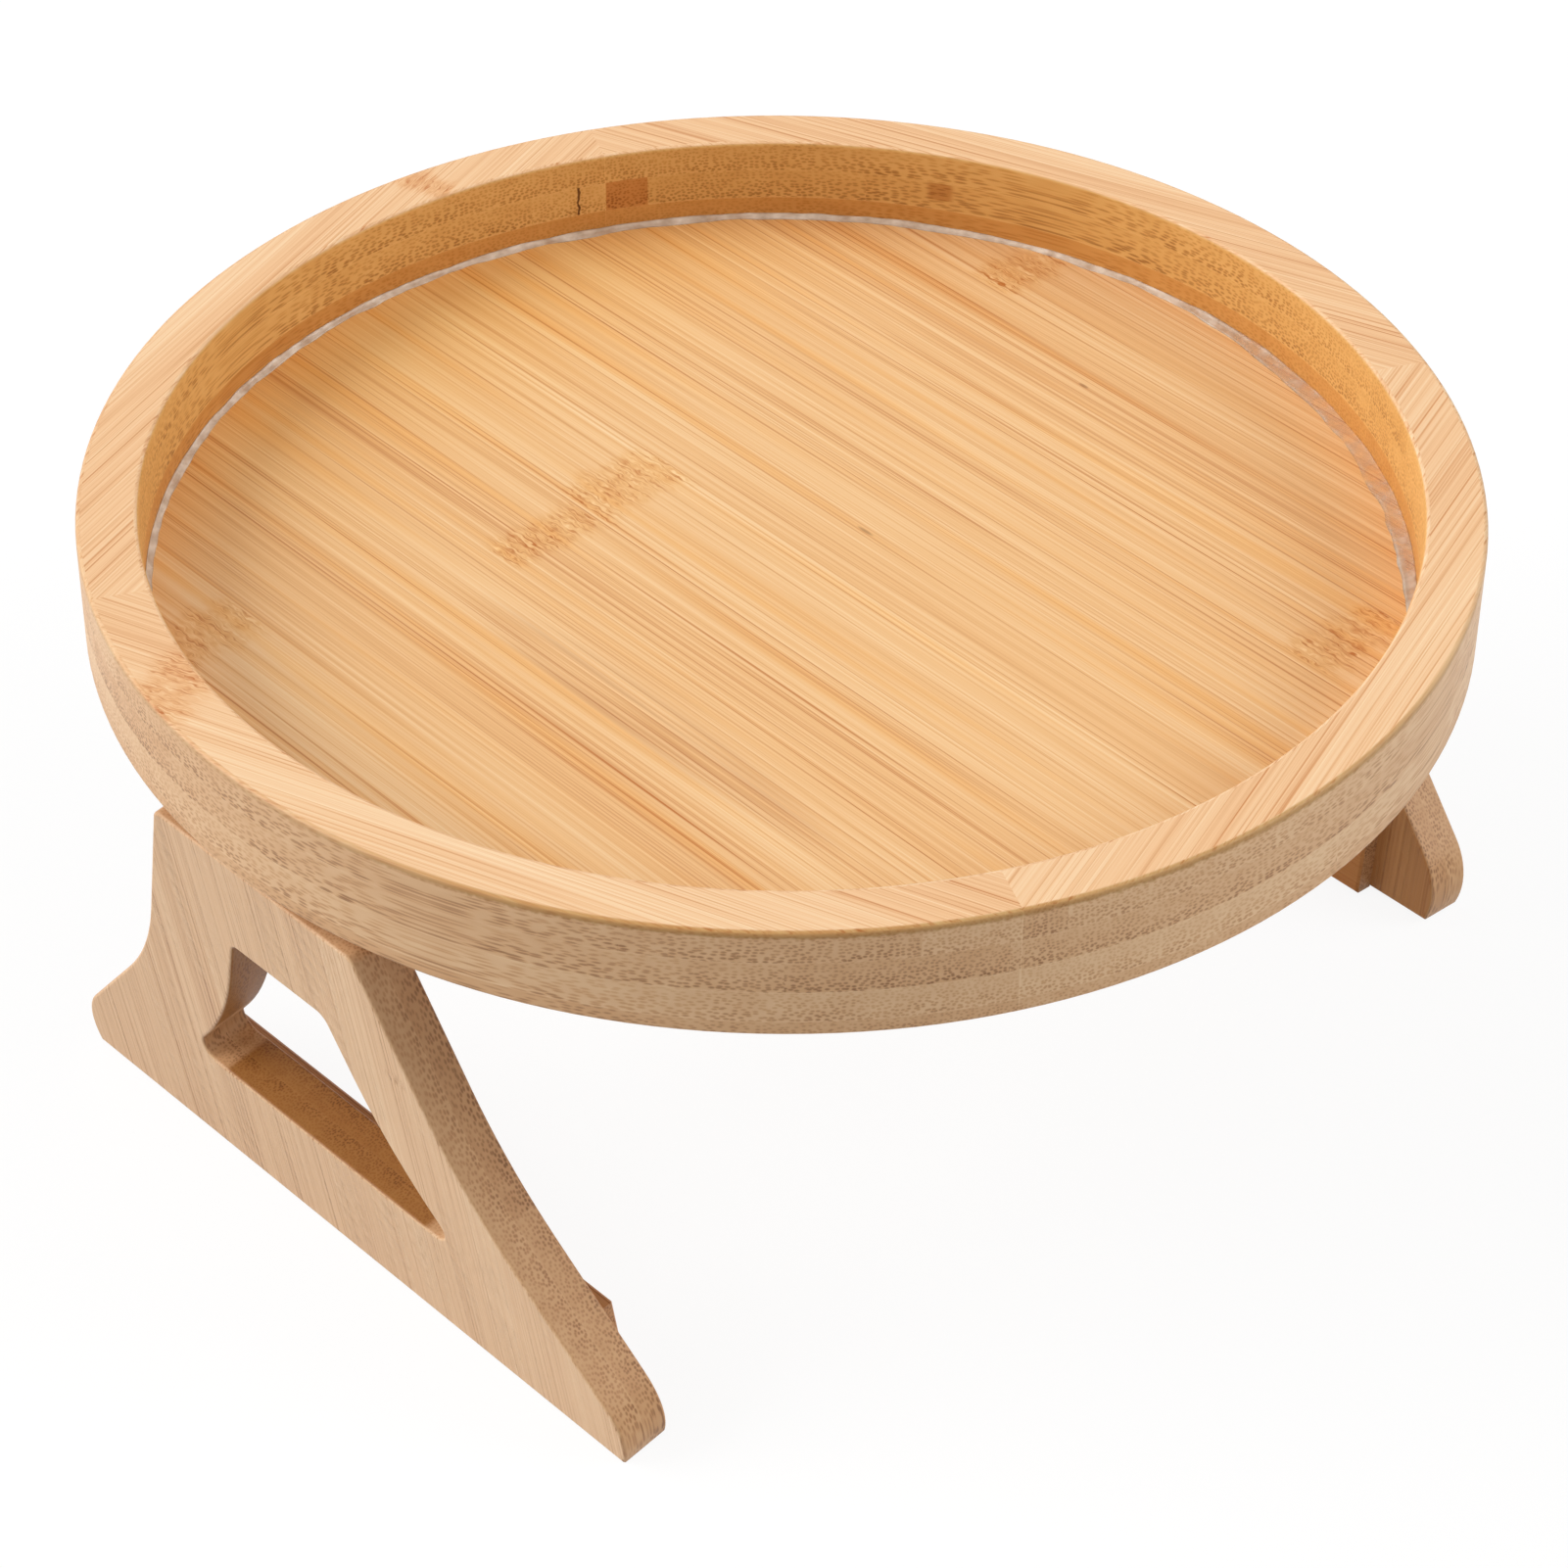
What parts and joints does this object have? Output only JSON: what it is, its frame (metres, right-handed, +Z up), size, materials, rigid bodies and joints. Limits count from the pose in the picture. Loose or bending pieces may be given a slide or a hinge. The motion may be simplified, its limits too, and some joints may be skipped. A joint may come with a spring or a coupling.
{
  "type": "sofa arm tray",
  "caption": "Round bamboo tray with a raised rim on sprung, flared folding legs that grip the arm of a sofa.",
  "frame": {"origin": "below the middle of the tray, on the surface that the feet stand on", "axes": "+Z up; +X through the right leg; both hinge pins lie along Y"},
  "size_m": [0.25, 0.25, 0.1186],
  "materials": {
    "rim_bamboo": "satin lacquered bamboo ply",
    "floor_bamboo": "satin lacquered bamboo strips",
    "leg_bamboo": "sanded bamboo ply",
    "strip_bamboo": "sanded bamboo lath",
    "rail_bamboo": "sanded bamboo batten",
    "glue": "clear dried glue",
    "hinge_steel": "bright zinc plated",
    "screw_steel": "bright zinc plated",
    "spring_steel": "oiled spring wire",
    "bush_nylon": "natural nylon"
  },
  "bodies": {
    "tray": {"rim_segment_1": "rim_bamboo", "rim_segment_2": "rim_bamboo", "rim_segment_3": "rim_bamboo", "rim_segment_4": "rim_bamboo", "tray_floor": "floor_bamboo", "glue_bead": "glue", "right_hinge_rail": "rail_bamboo", "right_hinge_tray_leaf": "hinge_steel", "right_tray_leaf_screws": "screw_steel", "right_hinge_spring": "spring_steel", "left_hinge_rail": "rail_bamboo", "left_hinge_tray_leaf": "hinge_steel", "left_tray_leaf_screws": "screw_steel", "left_hinge_spring": "spring_steel"},
    "right_leg": {"right_leg_panel": "leg_bamboo", "right_grip_strip": "strip_bamboo", "right_hinge_leg_leaf": "hinge_steel", "right_leg_leaf_screws": "screw_steel", "right_hinge_bushes": "bush_nylon", "right_hinge_pin": "hinge_steel"},
    "left_leg": {"left_leg_panel": "leg_bamboo", "left_grip_strip": "strip_bamboo", "left_hinge_leg_leaf": "hinge_steel", "left_leg_leaf_screws": "screw_steel", "left_hinge_bushes": "bush_nylon", "left_hinge_pin": "hinge_steel"}
  },
  "joints": [
    {"name": "right_leg_hinge", "type": "hinge", "parent": "tray", "child": "right_leg", "pos_m": [0.10755, 0, 0.08741], "axis": [0, 1, 0], "range_deg": [-8, 85.5], "stiffness_Nm_per_rad": 0.04, "springref_deg": 85.5},
    {"name": "left_leg_hinge", "type": "hinge", "parent": "tray", "child": "left_leg", "pos_m": [-0.10755, 0, 0.08741], "axis": [0, -1, 0], "range_deg": [-13, 80.5], "stiffness_Nm_per_rad": 0.04, "springref_deg": 80.5}
  ]
}
